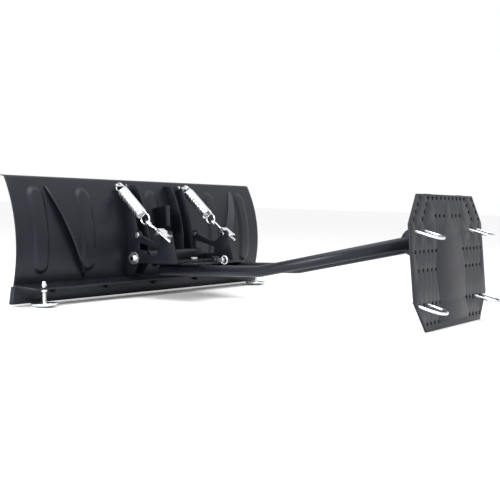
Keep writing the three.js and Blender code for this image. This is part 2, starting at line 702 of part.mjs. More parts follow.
// A bent yoke outboard of the side plate; the rod passes through its front wall.
function springBracket() {
  const inner = PLATE_INNER_X + SIDE_SHEET + GAP;
  const outer = SPRING_X + 13;
  const half = 12;
  const wall = 3;
  const slab = (alongFrom, alongTo, acrossFrom, acrossTo, x0, x1) => {
    const corners = [
      rodPoint(alongFrom, acrossFrom), rodPoint(alongTo, acrossFrom),
      rodPoint(alongTo, acrossTo), rodPoint(alongFrom, acrossTo),
    ].map((point) => [point.y, point.z]);
    return sidePlate(corners, [], x0, x1 - x0);
  };
  const pieces = [
    slab(BRACKET_FROM, BRACKET_TO, -half, half, inner, inner + wall),
    slab(BRACKET_FROM, BRACKET_FROM + wall, -half, half, inner, outer),
    slab(BRACKET_FROM, BRACKET_TO, half - wall, half, inner, outer),
  ];
  const hole = bar(
    rodPoint(BRACKET_FROM - 5).toArray(), rodPoint(BRACKET_FROM + 8).toArray(), ROD_RADIUS + 0.5);
  const { y, z } = BRACKET_BOLT;
  const boltHole = bar([inner - 5, y, z], [inner + 8, y, z], BRACKET_BOLT_RADIUS + BOLT_SLACK, 8);
  return joined(pieces).subtract(hole).subtract(boltHole);
}

function bracketBolt() {
  const inner = PLATE_INNER_X - GAP;
  return bolt([inner - 5, BRACKET_BOLT.y, BRACKET_BOLT.z],
    [PLATE_INNER_X + SIDE_SHEET + 2 * GAP + 3 + 5, BRACKET_BOLT.y, BRACKET_BOLT.z], BRACKET_BOLT_RADIUS, 5,
    5 + GAP + SIDE_SHEET + 2 * GAP + 3, 5);
}

// ---------------------------------------------------------------- push frame
function armPath() {
  const slopeAngle = Math.atan(ARM_SLOPE);
  const bendRadius = 130;
  const tangent = bendRadius * Math.tan(slopeAngle / 2);
  const points = [[ARM_FRONT_Y, ARM_Z]];
  const steps = 5;
  const startY = ARM_BEND_Y - tangent;
  for (let i = 0; i <= steps; i++) {
    const angle = (slopeAngle * i) / steps;
    points.push([startY + bendRadius * Math.sin(angle), ARM_Z + bendRadius * (1 - Math.cos(angle))]);
  }
  points.push([ARM_END_Y, ARM_Z + (ARM_END_Y - ARM_BEND_Y) * ARM_SLOPE]);
  return points;
}

// Swept by hand so that the straight runs stay exactly straight.
function tubeAlong(points, x, radius, sides) {
  const positions = [];
  points.forEach(([y, z], i) => {
    const before = points[Math.max(i - 1, 0)];
    const after = points[Math.min(i + 1, points.length - 1)];
    const length = Math.hypot(after[0] - before[0], after[1] - before[1]);
    const up = [-(after[1] - before[1]) / length, (after[0] - before[0]) / length];
    for (let k = 0; k < sides; k++) {
      const angle = (2 * Math.PI * (k + 0.5)) / sides;
      positions.push(x + radius * Math.cos(angle),
        y + up[0] * radius * Math.sin(angle), z + up[1] * radius * Math.sin(angle));
    }
  });
  const index = [];
  for (let i = 0; i + 1 < points.length; i++) {
    for (let k = 0; k < sides; k++) {
      const a = i * sides + k;
      const b = i * sides + ((k + 1) % sides);
      index.push(a, b, b + sides, a, b + sides, a + sides);
    }
  }
  const end = (points.length - 1) * sides;
  for (let k = 1; k + 1 < sides; k++) {
    index.push(0, k + 1, k);
    index.push(end, end + k, end + k + 1);
  }
  const geometry = new THREE.BufferGeometry();
  geometry.setAttribute('position', new THREE.BufferAttribute(new Float32Array(positions), 3));
  geometry.setIndex(index);
  const solid = toSolid(geometry);
  if (solid.volume() > 0) return solid;
  const flipped = geometry.index.array;
  for (let i = 0; i < flipped.length; i += 3) [flipped[i], flipped[i + 1]] = [flipped[i + 1], flipped[i]];
  return toSolid(geometry);
}

const ARM_PIVOT_Z = ARM_Z + (ARM_PIVOT_Y - ARM_BEND_Y) * ARM_SLOPE;

function arm() {
  const path = armPath();
  const first = path[0];
  const last = path[path.length - 1];
  const longer = [[first[0] - 5, first[1]], ...path.slice(1, -1), [last[0] + 5, last[1] + 5 * ARM_SLOPE]];
  let solid = tubeAlong(path, ARM_X, ARM_RADIUS, 20)
    .subtract(tubeAlong(longer, ARM_X, ARM_RADIUS - ARM_WALL, 20));
  for (const y of ARM_BOLT_Y) {
    solid = solid.subtract(bar([ARM_X, y, ARM_Z], [ARM_X, y, 110], ARM_BOLT_RADIUS + BOLT_SLACK));
  }
  return solid.subtract(bar(
    [60, ARM_PIVOT_Y, ARM_PIVOT_Z], [ARM_X, ARM_PIVOT_Y, ARM_PIVOT_Z], ARM_PIN_RADIUS + BOLT_SLACK));
}

function sectorPlate() {
  // The rear edge is cut back in the middle, so that the pull ring passes when the pin goes in.
  const outline = [
    [-136, 166], [136, 166], [136, 332], [48, 332], [32, 312], [-32, 312], [-48, 332], [-136, 332],
  ];
  const holes = [circle(KING.x, KING.y, KING_HOLE_RADIUS)];
  for (const side of [1, -1]) {
    for (const y of ARM_BOLT_Y) holes.push(circle(side * ARM_X, y, ARM_BOLT_RADIUS + BOLT_SLACK));
  }
  let solid = flatPlate(outline, holes, SECTOR_BOTTOM_Z, SECTOR_SHEET);
  // The bolt heads are sunk so that the swivel base can pass over them.
  for (const side of [1, -1]) {
    for (const y of ARM_BOLT_Y) {
      const x = side * ARM_X;
      solid = solid.subtract(
        bar([x, y, SUNK_HEAD_Z - GAP], [x, y, 120], SUNK_HEAD_RADIUS + 0.6));
    }
  }
  return solid;
}

// The nut is inside the tube, against its upper wall.
function armBolt(y) {
  const top = SECTOR_BOTTOM_Z + SECTOR_SHEET - GAP;
  return joined([
    bar([ARM_X, y, top], [ARM_X, y, ARM_Z + 2], ARM_BOLT_RADIUS),
    bar([ARM_X, y, top], [ARM_X, y, SUNK_HEAD_Z], SUNK_HEAD_RADIUS),
    bar([ARM_X, y, ARM_NUT_TOP_Z], [ARM_X, y, ARM_NUT_TOP_Z - 7], ARM_NUT_RADIUS, 6),
  ]);
}

function pinGuide() {
  const bottom = SECTOR_BOTTOM_Z + SECTOR_SHEET + GAP;
  const block = box(
    -GUIDE_HALF_WIDTH, GUIDE_HALF_WIDTH, GUIDE_FRONT_Y, GUIDE_REAR_Y, bottom, LOCK_PIN_Z + GUIDE_ABOVE_PIN);
  return block.subtract(bar(
    [0, GUIDE_FRONT_Y - 5, LOCK_PIN_Z], [0, GUIDE_REAR_Y + 5, LOCK_PIN_Z], LOCK_PIN_RADIUS + BOLT_SLACK));
}

function lockPin() {
  const tip = KING.y + SECTOR_RADIUS + PIN_CLEARANCE;
  const shaft = bar([0, tip, LOCK_PIN_Z], [0, EYE_FRONT_Y + 4, LOCK_PIN_Z], LOCK_PIN_RADIUS);
  const eye = box(-EYE_HALF, EYE_HALF, EYE_FRONT_Y, EYE_REAR_Y, LOCK_PIN_Z - EYE_HALF, LOCK_PIN_Z + EYE_HALF);
  const holeY = RING_CENTRE_Y - RING_RADIUS + 0.8;
  return joined([shaft, eye])
    .subtract(bar([0, holeY, LOCK_PIN_Z - 20], [0, holeY, LOCK_PIN_Z + 20], EYE_HOLE_RADIUS));
}

function pullRing() {
  const geometry = new THREE.TorusGeometry(RING_RADIUS, RING_WIRE, 8, 24);
  geometry.rotateY(Math.PI / 2);
  geometry.translate(0, RING_CENTRE_Y, LOCK_PIN_Z);
  return toSolid(geometry);
}

// ---------------------------------------------------------------- mount plate
// Plate coordinates: u along +X, v up the plate, n out of its rear face.
const plateUp = new THREE.Vector3(0, Math.sin(PLATE_TILT), Math.cos(PLATE_TILT));
const plateOut = new THREE.Vector3(0, Math.cos(PLATE_TILT), -Math.sin(PLATE_TILT));
const platePoint = (u, v, n) => new THREE.Vector3(u, PLATE_CENTRE.y, PLATE_CENTRE.z)
  .addScaledVector(plateUp, v).addScaledVector(plateOut, n);
const armPivot = new THREE.Vector3(0, ARM_PIVOT_Y - PLATE_CENTRE.y, ARM_PIVOT_Z - PLATE_CENTRE.z);
const PIVOT_V = armPivot.dot(plateUp);
const PIVOT_N = armPivot.dot(plateOut);

// Hole rows of the half at +u; every one is repeated at -u.
const HOLE_ROWS = [
  { v: 177, us: [14, 42, 71, 99, 128, 183] },
  { v: 158, us: [144, 199] },
  { v: 138, us: [158, 214] },
  { v: 118, us: [175, 231] },
  { v: 127, us: [28, 57, 85] },
  { v: 30, us: [97, 124, 151, 179, 206, 233] },
  { v: -21, us: [109, 136, 163, 191, 220] },
  { v: -113, us: [96, 121, 146, 201] },
  { v: -166, us: [113, 138, 164, 189] },
];

function mountPlate() {
  const [w, h, cu, cv] = [PLATE_HALF_WIDTH, PLATE_HALF_HEIGHT, PLATE_CORNER_U, PLATE_CORNER_V];
  const outline = [
    [-w, -h + cv], [-w + cu, -h], [w - cu, -h], [w, -h + cv],
    [w, h - cv], [w - cu, h], [-w + cu, h], [-w, h - cv],
  ];
  const holes = [];
  for (const side of [1, -1]) {
    for (const { v, us } of HOLE_ROWS) {
      for (const u of us) holes.push(circle(side * u, v, HOLE_RADIUS, 8));
    }
    for (const { u, v } of [UBOLT_UPPER, UBOLT_LOWER]) {
      for (const leg of [-UBOLT_SPREAD, UBOLT_SPREAD]) holes.push(circle(side * u + leg, v, 6.2, 10));
    }
  }
  const origin = platePoint(0, 0, PLATE_SHEET / 2).toArray();
  return plate(outline, holes, PLATE_SHEET,
    basis([1, 0, 0], plateUp.toArray(), plateOut.clone().negate().toArray(), origin));
}

function pivotBracket() {
  const front = -PLATE_SHEET / 2 - GAP;
  const inner = ARM_X - ARM_RADIUS - EAR_SIDE_GAP - EAR_SHEET;
  const outer = ARM_X + ARM_RADIUS + EAR_SIDE_GAP;
  // Drawn in (n, v) and thickened along X.
  const place = (x) => basis(plateOut.toArray(), plateUp.toArray(), [1, 0, 0],
    [x, PLATE_CENTRE.y, PLATE_CENTRE.z]);
  const earOutline = [
    [front, EAR_BOTTOM_V], [front, EAR_TOP_V], [front - EAR_TOP_DEPTH, EAR_TOP_V],
    ...arcPoints(PIVOT_N, PIVOT_V, EAR_RADIUS, 62, 250, 12),
  ];
  const hole = circle(PIVOT_N, PIVOT_V, ARM_PIN_RADIUS + BOLT_SLACK);
  const webOutline = [
    [front - EAR_SHEET, EAR_BOTTOM_V], [front, EAR_BOTTOM_V],
    [front, EAR_TOP_V], [front - EAR_SHEET, EAR_TOP_V],
  ];
  return joined([
    plate(earOutline, [hole], EAR_SHEET, place(inner)),
    plate(webOutline, [], outer - inner, place(inner + 1)),
  ]);
}

// The head is inside the tube; the pin leaves through the tube's inboard wall and the ear.
function pivotPin() {
  const head = ARM_X - PIN_HEAD_INBOARD;
  const inner = ARM_X - ARM_RADIUS - EAR_SIDE_GAP - EAR_SHEET - GAP;
  return bolt([head, ARM_PIVOT_Y, ARM_PIVOT_Z], [inner - 12, ARM_PIVOT_Y, ARM_PIVOT_Z],
    ARM_PIN_RADIUS, 7, head - inner, 9);
}

function ubolt({ u, v }) {
  const out = plateOut.clone().multiplyScalar(Math.cos(UBOLT_DROOP))
    .addScaledVector(plateUp, -Math.sin(UBOLT_DROOP));
  const at = (side, along) => platePoint(u + side, v, 0).addScaledVector(out, along);
  const straight = UBOLT_REACH - UBOLT_SPREAD;
  const points = [at(UBOLT_SPREAD, -20), at(UBOLT_SPREAD, 0)];
  for (let degrees = 0; degrees <= 180; degrees += 18) {
    const angle = THREE.MathUtils.degToRad(degrees);
    points.push(at(UBOLT_SPREAD * Math.cos(angle), straight + UBOLT_SPREAD * Math.sin(angle)));
  }
  points.push(at(-UBOLT_SPREAD, 0), at(-UBOLT_SPREAD, -20));
  const nuts = [UBOLT_SPREAD, -UBOLT_SPREAD].map((side) =>
    bar(at(side, -14).toArray(), at(side, -6.6).toArray(), 7.5, 6));
  return joined([rod(points, UBOLT_ROD, 8, 26), ...nuts]);
}

// ---------------------------------------------------------------- assembly
const pieces = [];
const addPiece = (name, solid, material) => pieces.push({ name, solid, material });
const addPair = (name, solid, material) => {
  addPiece(`${name}_left`, solid, material);
  addPiece(`${name}_right`, mirrored(solid), material);
};

addPiece('moldboard', moldboard(), blackPaint);
addPiece('cutting_edge', cuttingEdge(), blackPaint);
addPiece('bottom_angle', bottomAngle(), blackPaint);
addPair('diagonal_rib', rib(), blackPaint);
addPair('blade_post', post(), blackPaint);
addPair('spring_pin', springPin(), zinc);
addPiece('lift_bracket', liftBracket(), blackPaint);
EDGE_BOLT_X.forEach((x, i) => addPiece(`edge_bolt_${i + 1}`, edgeBolt(x), blackPaint));
addPair('skid_shoe', skidShoe(), zinc);
addPair('skid_spacer', skidSpacer(), zinc);
addPair('skid_nut', skidNut(), zinc);

addPair('head_side', headSide(), blackPaint);
addPiece('swivel_base', swivelBase(), blackPaint);
addPiece('cross_channel', crossChannel(), blackPaint);
addPair('trip_bolt', tripBolt(), zinc);
addPair('trip_washer', tripWasher(), zinc);
addPair('stop_bolt', stopBolt(), zinc);
addPair('trip_spring', springBody(), zinc);
addPair('spring_rod', springRod(), zinc);
addPair('spring_bracket', springBracket(), zinc);
addPair('bracket_bolt', bracketBolt(), zinc);
addPiece('kingpin', kingpin(), zinc);

addPair('push_arm', arm(), blackPaint);
addPiece('sector_plate', sectorPlate(), blackPaint);
addPair('arm_bolt_front', armBolt(ARM_BOLT_Y[0]), zinc);
addPair('arm_bolt_rear', armBolt(ARM_BOLT_Y[1]), zinc);
addPiece('pin_guide', pinGuide(), blackPaint);
addPiece('lock_pin', lockPin(), zinc);
addPiece('pull_ring', pullRing(), zinc);

addPiece('mount_plate', mountPlate(), blackPaint);
addPair('pivot_bracket', pivotBracket(), blackPaint);
addPair('pivot_pin', pivotPin(), zinc);
addPair('ubolt_upper', ubolt(UBOLT_UPPER), zinc);
addPair('ubolt_lower', ubolt(UBOLT_LOWER), zinc);

// Tip about X until the skid shoes and the mount plate reach the same lowest height.
function lowest(name, tip) {
  const mesh = pieces.find((piece) => piece.name === name).solid.getMesh();
  let low = Infinity;
  for (let i = 0; i < mesh.numVert; i++) {
    const y = mesh.vertProperties[mesh.numProp * i + 1];
    const z = mesh.vertProperties[mesh.numProp * i + 2];
    low = Math.min(low, y * Math.sin(tip) + z * Math.cos(tip));
  }
  return low;
}

let tipLow = 0;
let tipHigh = THREE.MathUtils.degToRad(8);
for (let i = 0; i < 40; i++) {
  const middle = (tipLow + tipHigh) / 2;
  if (lowest('mount_plate', middle) < lowest('skid_shoe_left', middle)) tipLow = middle;
  else tipHigh = middle;
}
const TIP = (tipLow + tipHigh) / 2;
const standing = new THREE.Matrix4().makeRotationX(TIP);
standing.setPosition(0, 0, -lowest('mount_plate', TIP));

// The origin ends up under the middle of the whole, on the floor.
const extent = new THREE.Box3();
const geometries = pieces.map(({ solid }) => {
  const geometry = toGeometry(solid);
  geometry.applyMatrix4(standing);
  geometry.computeBoundingBox();
  extent.union(geometry.boundingBox);
  return geometry;
});
const middleY = (extent.min.y + extent.max.y) / 2;

const whole = new THREE.Group();
whole.name = 'atv_plow_blade';
pieces.forEach(({ name, material }, i) => {
  geometries[i].translate(0, -middleY, 0);
  const mesh = new THREE.Mesh(geometries[i], material);
  mesh.name = name;
  whole.add(mesh);
});

export default whole;
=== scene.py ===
# %% [markdown]
# # ATV plow blade
# A curved steel blade for a small vehicle, on a head that swivels and trips, with two
# bent push arms and an eight-sided plate. The solids from the CAD step are the frame:
# every piece below goes where they are, and moves with the body they belong to.

# %% Load the frame
import json
import math
import bpy
import bmesh
from mathutils import Matrix, Vector


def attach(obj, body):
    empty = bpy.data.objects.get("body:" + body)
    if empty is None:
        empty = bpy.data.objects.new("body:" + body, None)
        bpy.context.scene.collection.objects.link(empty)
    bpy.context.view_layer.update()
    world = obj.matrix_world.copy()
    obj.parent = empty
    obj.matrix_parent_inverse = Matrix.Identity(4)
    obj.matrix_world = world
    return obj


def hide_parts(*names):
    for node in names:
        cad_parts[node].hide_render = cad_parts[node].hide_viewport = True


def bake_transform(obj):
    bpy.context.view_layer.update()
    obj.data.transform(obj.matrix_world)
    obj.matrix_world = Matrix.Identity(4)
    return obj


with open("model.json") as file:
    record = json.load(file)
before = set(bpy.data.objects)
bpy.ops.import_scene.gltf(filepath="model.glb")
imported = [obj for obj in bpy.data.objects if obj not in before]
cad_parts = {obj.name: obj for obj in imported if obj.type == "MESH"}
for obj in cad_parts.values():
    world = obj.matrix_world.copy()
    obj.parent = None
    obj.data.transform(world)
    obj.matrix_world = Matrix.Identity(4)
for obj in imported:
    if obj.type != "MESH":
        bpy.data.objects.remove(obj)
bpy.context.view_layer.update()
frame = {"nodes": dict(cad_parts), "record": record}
record = frame["record"]
joints = {joint["name"]: joint for joint in record["behaviour"]["joints"]}
body_of = {node: body for body, nodes in record["behaviour"]["bodies"].items() for node in nodes}
slot_of = {entry["node"]: entry["material_slot"] for entry in record["subparts"]}
print("pieces in the frame:", len(body_of))

# %% [markdown]
# ## Where the pieces are drawn
# It is easiest to draw the plow with the front of its arms level, in millimetres, and
# then to stand the whole on its skids. The tip angle and the place come from two of the
# frame's own joints, so the fine pieces land exactly on the CAD ones.

# %% From the drawing to the standing object
MM = 0.001
PIVOT = (77.0, 123.0)             # trip pivot in the drawing: y, z
king_axis = joints["blade_angle"]["axis"]
tip = math.atan2(-king_axis[1], king_axis[2])
STAND = (
    Matrix.Translation(joints["blade_trip"]["pos_m"])
    @ Matrix.Rotation(tip, 4, "X")
    @ Matrix.Scale(MM, 4)
    @ Matrix.Translation((0.0, -PIVOT[0], -PIVOT[1]))
)
print("tipped by", round(math.degrees(tip), 2), "degrees")

# %% [markdown]
# ## Finishes
# Two finishes cover the whole plow. The plates and tubes have a satin black powder coat:
# near black with a hint of blue, and a fine orange-peel skin. The bolts, springs, skids
# and U-bolts are zinc plated, a bright metal with a slightly uneven sheen. Both are built
# from noise on Object coordinates, so they need no unwrapping and stay put on each piece.

# %% A helper for the start of every finish
def new_finish(name, roughness_low, roughness_high, patch_scale):
    material = bpy.data.materials.new(name)
    material.use_nodes = True
    nodes = material.node_tree.nodes
    links = material.node_tree.links
    shader = nodes["Principled BSDF"]
    place = nodes.new("ShaderNodeTexCoord")
    patches = nodes.new("ShaderNodeTexNoise")
    patches.inputs["Scale"].default_value = patch_scale
    patches.inputs["Detail"].default_value = 5.0
    links.new(place.outputs["Object"], patches.inputs["Vector"])
    spread = nodes.new("ShaderNodeMapRange")
    spread.inputs["From Min"].default_value = 0.3
    spread.inputs["From Max"].default_value = 0.7
    spread.inputs["To Min"].default_value = roughness_low
    spread.inputs["To Max"].default_value = roughness_high
    links.new(patches.outputs["Fac"], spread.inputs["Value"])
    links.new(spread.outputs["Result"], shader.inputs["Roughness"])
    return material, nodes, links, shader, place, patches


# %% Two helpers: a colour that wanders a little, and a fine skin
def wandering_colour(nodes, links, shader, patches, first, second):
    ramp = nodes.new("ShaderNodeValToRGB")
    ramp.color_ramp.elements[0].position = 0.35
    ramp.color_ramp.elements[0].color = (*first, 1.0)
    ramp.color_ramp.elements[1].position = 0.65
    ramp.color_ramp.elements[1].color = (*second, 1.0)
    links.new(patches.outputs["Fac"], ramp.inputs["Fac"])
    links.new(ramp.outputs["Color"], shader.inputs["Base Color"])


def fine_skin(nodes, links, shader, place, grain_scale, height):
    grain = nodes.new("ShaderNodeTexNoise")
    grain.inputs["Scale"].default_value = grain_scale
    grain.inputs["Detail"].default_value = 2.0
    links.new(place.outputs["Object"], grain.inputs["Vector"])
    bump = nodes.new("ShaderNodeBump")
    bump.inputs["Strength"].default_value = 0.25
    bump.inputs["Distance"].default_value = height
    links.new(grain.outputs["Fac"], bump.inputs["Height"])
    links.new(bump.outputs["Normal"], shader.inputs["Normal"])


# %% Black powder coat
def powder_coat():
    material, nodes, links, shader, place, patches = new_finish("black_powder_coat", 0.34, 0.44, 9.0)
    wandering_colour(nodes, links, shader, patches, (0.0045, 0.005, 0.008), (0.0065, 0.0075, 0.012))
    fine_skin(nodes, links, shader, place, 700.0, 0.0003)
    shader.inputs["Specular IOR Level"].default_value = 0.32
    shader.inputs["Specular Tint"].default_value = (0.86, 0.88, 1.0, 1.0)
    return material


# %% Zinc plate
def zinc_plate(name, first, second, roughness):
    material, nodes, links, shader, place, patches = new_finish(name, roughness, roughness + 0.12, 60.0)
    wandering_colour(nodes, links, shader, patches, first, second)
    fine_skin(nodes, links, shader, place, 1500.0, 0.0001)
    shader.inputs["Metallic"].default_value = 1.0
    return material


FINISH = {
    "black_paint": powder_coat(),
    "zinc": zinc_plate("zinc_plate", (0.66, 0.69, 0.73), (0.80, 0.82, 0.83), 0.22),
    "spring_steel": zinc_plate("zinc_plated_wire", (0.76, 0.79, 0.83), (0.88, 0.90, 0.92), 0.16),
}
print("finishes:", sorted(FINISH))

# %% [markdown]
# ## Turning a shape into a piece
# Every piece ends the same way: it is placed, its faces are pointed outwards, it is
# shaded smooth up to a corner angle, and it takes over from its CAD node. A piece that
# has a twin on the other side is drawn once, on the left, and mirrored. A mirrored shape
# is inside out, which is why the normals are worked out again.

# %% Hand a shape over as a piece
def publish(bm, node, corner=26.0, drawn=True, outward=True):
    if drawn:
        bmesh.ops.transform(bm, matrix=STAND, verts=bm.verts)
    if outward:
        bmesh.ops.recalc_face_normals(bm, faces=bm.faces)
    mesh = bpy.data.meshes.new(node + "_fine")
    bm.to_mesh(mesh)
    bm.free()
    mesh.polygons.foreach_set("use_smooth", [True] * len(mesh.polygons))
    mesh.set_sharp_from_angle(angle=math.radians(corner))
    mesh.materials.append(FINISH[slot_of[node]])
    piece = bpy.data.objects.new(node + "_fine", mesh)
    bpy.context.scene.collection.objects.link(piece)
    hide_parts(node)
    return piece


def publish_one(bm, node, **settings):
    piece = publish(bm, node, **settings)
    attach(piece, body_of[node])
    return piece


def publish_pair(make, name, **settings):
    left = publish_one(make(), name + "_left", **settings)
    bm = make()
    bmesh.ops.transform(bm, matrix=Matrix.Scale(-1.0, 4, (1, 0, 0)), verts=bm.verts)
    bmesh.ops.reverse_faces(bm, faces=bm.faces)
    right = publish_one(bm, name + "_right", **settings)
    return left, right


# %% [markdown]
# ## Round shapes
# A turned part, such as a bolt or a skid, is a profile spun round an axis. A bent rod is
# a line with a round section, which a curve's bevel makes in one step. The curve is made
# a mesh at once, because the pieces have to be meshes to ride with the frame.

# %% Spin a profile
def turned(profile, start, end, steps=28):
    bm = bmesh.new()
    points = [bm.verts.new((radius, 0.0, height)) for radius, height in profile]
    edges = [bm.edges.new(pair) for pair in zip(points, points[1:])]
    bmesh.ops.spin(
        bm, geom=points + edges, cent=(0, 0, 0), axis=(0, 0, 1),
        angle=math.tau, steps=steps, use_merge=True)
    bmesh.ops.remove_doubles(bm, verts=bm.verts, dist=1e-4)
    start = Vector(start)
    along = Vector(end) - start
    turn = Vector((0, 0, 1)).rotation_difference(along).to_matrix().to_4x4()
    bmesh.ops.transform(bm, matrix=Matrix.Translation(start) @ turn, verts=bm.verts)
    bmesh.ops.recalc_face_normals(bm, faces=bm.faces)
    return bm


# %% Sweep a round section along points
def swept(points, radius, rounds=3, caps=True):
    curve = bpy.data.curves.new("sweep", "CURVE")
    curve.dimensions = "3D"
    curve.bevel_depth = radius
    curve.bevel_resolution = rounds
    curve.use_fill_caps = caps
    spline = curve.splines.new("POLY")
    spline.points.add(len(points) - 1)
    for spot, point in zip(spline.points, points):
        spot.co = (*point, 1.0)
    carrier = bpy.data.objects.new("sweep", curve)
    bpy.context.scene.collection.objects.link(carrier)
    graph = bpy.context.evaluated_depsgraph_get()
    mesh = bpy.data.meshes.new_from_object(carrier.evaluated_get(graph))
    bm = bmesh.new()
    bm.from_mesh(mesh)
    bpy.data.objects.remove(carrier)
    bpy.data.curves.remove(curve)
    bpy.data.meshes.remove(mesh)
    bmesh.ops.remove_doubles(bm, verts=bm.verts, dist=1e-4)
    return bm


# %% Smooth a coarse line, and put several shapes in one piece
def smooth_line(points, per=6):
    points = [Vector(point) for point in points]
    ends = [2 * points[0] - points[1]] + points + [2 * points[-1] - points[-2]]
    line = []
    for before, a, b, after in zip(ends, ends[1:], ends[2:], ends[3:]):
        for step in range(per):
            t = step / per
            line.append(0.5 * (
                2 * a + (b - before) * t
                + (2 * before - 5 * a + 4 * b - after) * t * t
                + (3 * a - before - 3 * b + after) * t ** 3))
    return line + [points[-1]]


def together(*shapes):
    whole = shapes[0]
    for shape in shapes[1:]:
        mesh = bpy.data.meshes.new("part")
        shape.to_mesh(mesh)
        shape.free()
        whole.from_mesh(mesh)
        bpy.data.meshes.remove(mesh)
    return whole


# %% [markdown]
# ## Fasteners
# A bolt is a turned shank with a hexagonal head, and a nut further along. Where the shank
# is bare past the nut it carries a thread, drawn as rings, which read the same as a helix
# at this size. The head's and nut's corners get a small bevel, as forged ones have.

# %% A hexagon between two points
def hexagon(start, end, radius):
    start, end = Vector(start), Vector(end)
    along = end - start
    bm = bmesh.new()
    bmesh.ops.create_cone(
        bm, cap_ends=True, segments=6, radius1=radius, radius2=radius, depth=along.length)
    bmesh.ops.bevel(
        bm, geom=bm.edges[:], offset=radius * 0.07, segments=2, profile=0.5, affect="EDGES", material=-1)
    turn = Vector((0, 0, 1)).rotation_difference(along).to_matrix().to_4x4()
    middle = Matrix.Translation((start + end) / 2)
    bmesh.ops.transform(bm, matrix=middle @ turn, verts=bm.verts)
    return bm


# %% A shank with a threaded stretch
def shank(start, end, radius, thread_from=None, pitch=1.5):
    length = (Vector(end) - Vector(start)).length
    profile = [(0.0, 0.0), (radius, 0.0)]
    if thread_from is not None:
        height = thread_from
        while height + pitch < length - 1.0:
            profile += [(radius, height), (radius * 0.88, height + pitch / 2)]
            height += pitch
    profile += [(radius, length - 0.8), (radius * 0.85, length), (0.0, length)]
    return turned(profile, start, end, steps=24)


# %% A whole bolt
def bolt(start, end, radius, head, nut_from, nut, across=1.75):
    start, end = Vector(start), Vector(end)
    along = (end - start).normalized()
    parts = [
        shank(start, end, radius, nut_from - 1.0 if nut else None),
        hexagon(start, start + along * head, radius * across),
    ]
    if nut:
        parts.append(hexagon(start + along * nut_from, start + along * (nut_from + nut), radius * across))
    return together(*parts)


# %% [markdown]
# ## The moldboard
# The blade is one pressed sheet, 3 mm thick: flat at the bottom, a single curve above and
# a short lip along the top. Five round-ended beads are pressed towards the rear to stiffen
# it. A fine grid is laid over that surface, and a Solidify modifier gives the thickness.

# %% The blade's section
LEAN = math.radians(11.0)         # lean of the flat lower stack
BLADE_LENGTH = 1270.0
SHEET = 3.0
GAP = 0.3
EDGE_THICK = 9.0
BLADE_TOP = (-11.0, 393.0)        # upper end of the curve: y, z
BLADE_HOLLOW = 31.0               # depth of the curve behind its chord
FLAT_FROM, FLAT_TO, FLAT_TOP = 8.0, 62.0, 66.0
CURVE_FROM_Z = 66.0
TOP_BEND = 5.0
LIP_TIP = (-27.0, 394.5)


def stack(through, up):
    return (
        up * math.sin(LEAN) + through * math.cos(LEAN),
        up * math.cos(LEAN) - through * math.sin(LEAN),
    )


sheet_middle = EDGE_THICK + GAP + SHEET / 2
arc_start = Vector(stack(sheet_middle, FLAT_TOP))
arc_end = Vector(BLADE_TOP)
chord = arc_end - arc_start
ARC_RADIUS = (chord.length_squared / 4 + BLADE_HOLLOW ** 2) / (2 * BLADE_HOLLOW)
towards_rear = Vector((chord.y, -chord.x)) / chord.length
ARC_CENTRE = (arc_start + arc_end) / 2 - towards_rear * (ARC_RADIUS - BLADE_HOLLOW)


def on_arc(z):
    lift = z - ARC_CENTRE[1]
    out = math.sqrt(ARC_RADIUS ** 2 - lift ** 2)
    return (ARC_CENTRE[0] + out, z), (out / ARC_RADIUS, lift / ARC_RADIUS)


def blade_section():
    flat_normal = (math.cos(LEAN), -math.sin(LEAN))
    flat = [FLAT_FROM + (FLAT_TO - FLAT_FROM) * i / 6 for i in range(7)]
    section = [(stack(sheet_middle, up), flat_normal) for up in flat]
    low, high = CURVE_FROM_Z, BLADE_TOP[1] - TOP_BEND
    section += [on_arc(low + (high - low) * i / 64) for i in range(65)]
    corner, lip = BLADE_TOP, LIP_TIP
    first = section[-1][0]
    for i in range(1, 9):         # the lip turns forward in a small bend
        t = i / 9
        y = (1 - t) ** 2 * first[0] + 2 * t * (1 - t) * corner[0] + t * t * (lip[0] + 8)
        z = (1 - t) ** 2 * first[1] + 2 * t * (1 - t) * corner[1] + t * t * (lip[1] - 0.7)
        section.append(((y, z), (1 - t, t)))
    section.append((lip, (0.0, 1.0)))
    return section


# %% The pressed beads
BEADS = (-537.0, -335.0, 0.0, 335.0, 537.0)
BEAD_HALF = 32.0
BEAD_SLOPE = 13.0
BEAD_RISE = 6.0
BEAD_BOTTOM, BEAD_TOP = 88.0, 361.0


def bead_rise(x, z):
    nearest = min(max(z, BEAD_BOTTOM + BEAD_HALF), BEAD_TOP - BEAD_HALF)
    rise = 0.0
    for centre in BEADS:
        inward = (BEAD_HALF - math.hypot(x - centre, z - nearest)) / BEAD_SLOPE
        t = min(max(inward, 0.0), 1.0)
        rise = max(rise, BEAD_RISE * t * t * (3 - 2 * t))
    return rise


# %% The sheet
def moldboard():
    section = blade_section()
    rows = len(section)
    bm = bmesh.new()
    bmesh.ops.create_grid(bm, x_segments=254, y_segments=rows - 1, size=0.5)
    for vert in bm.verts:
        x = vert.co.x * BLADE_LENGTH
        (y, z), normal = section[round((vert.co.y + 0.5) * (rows - 1))]
        rise = bead_rise(x, z)
        vert.co = (x, y + normal[0] * rise, z + normal[1] * rise)
    piece = publish_one(bm, "moldboard", corner=45.0)
    wall = piece.modifiers.new("sheet", "SOLIDIFY")
    wall.thickness = SHEET * MM
    wall.offset = 0.0
    return piece


print("moldboard faces:", len(moldboard().data.polygons))

# %% [markdown]
# ## The crescent ribs
# On each side a curved rib runs slantwise down the back of the sheet. It is a flat strip
# that leans towards the blade's end: shallow at its ends, deepest in the middle. A narrow
# grid takes that outline and is then given its 5 mm of thickness.

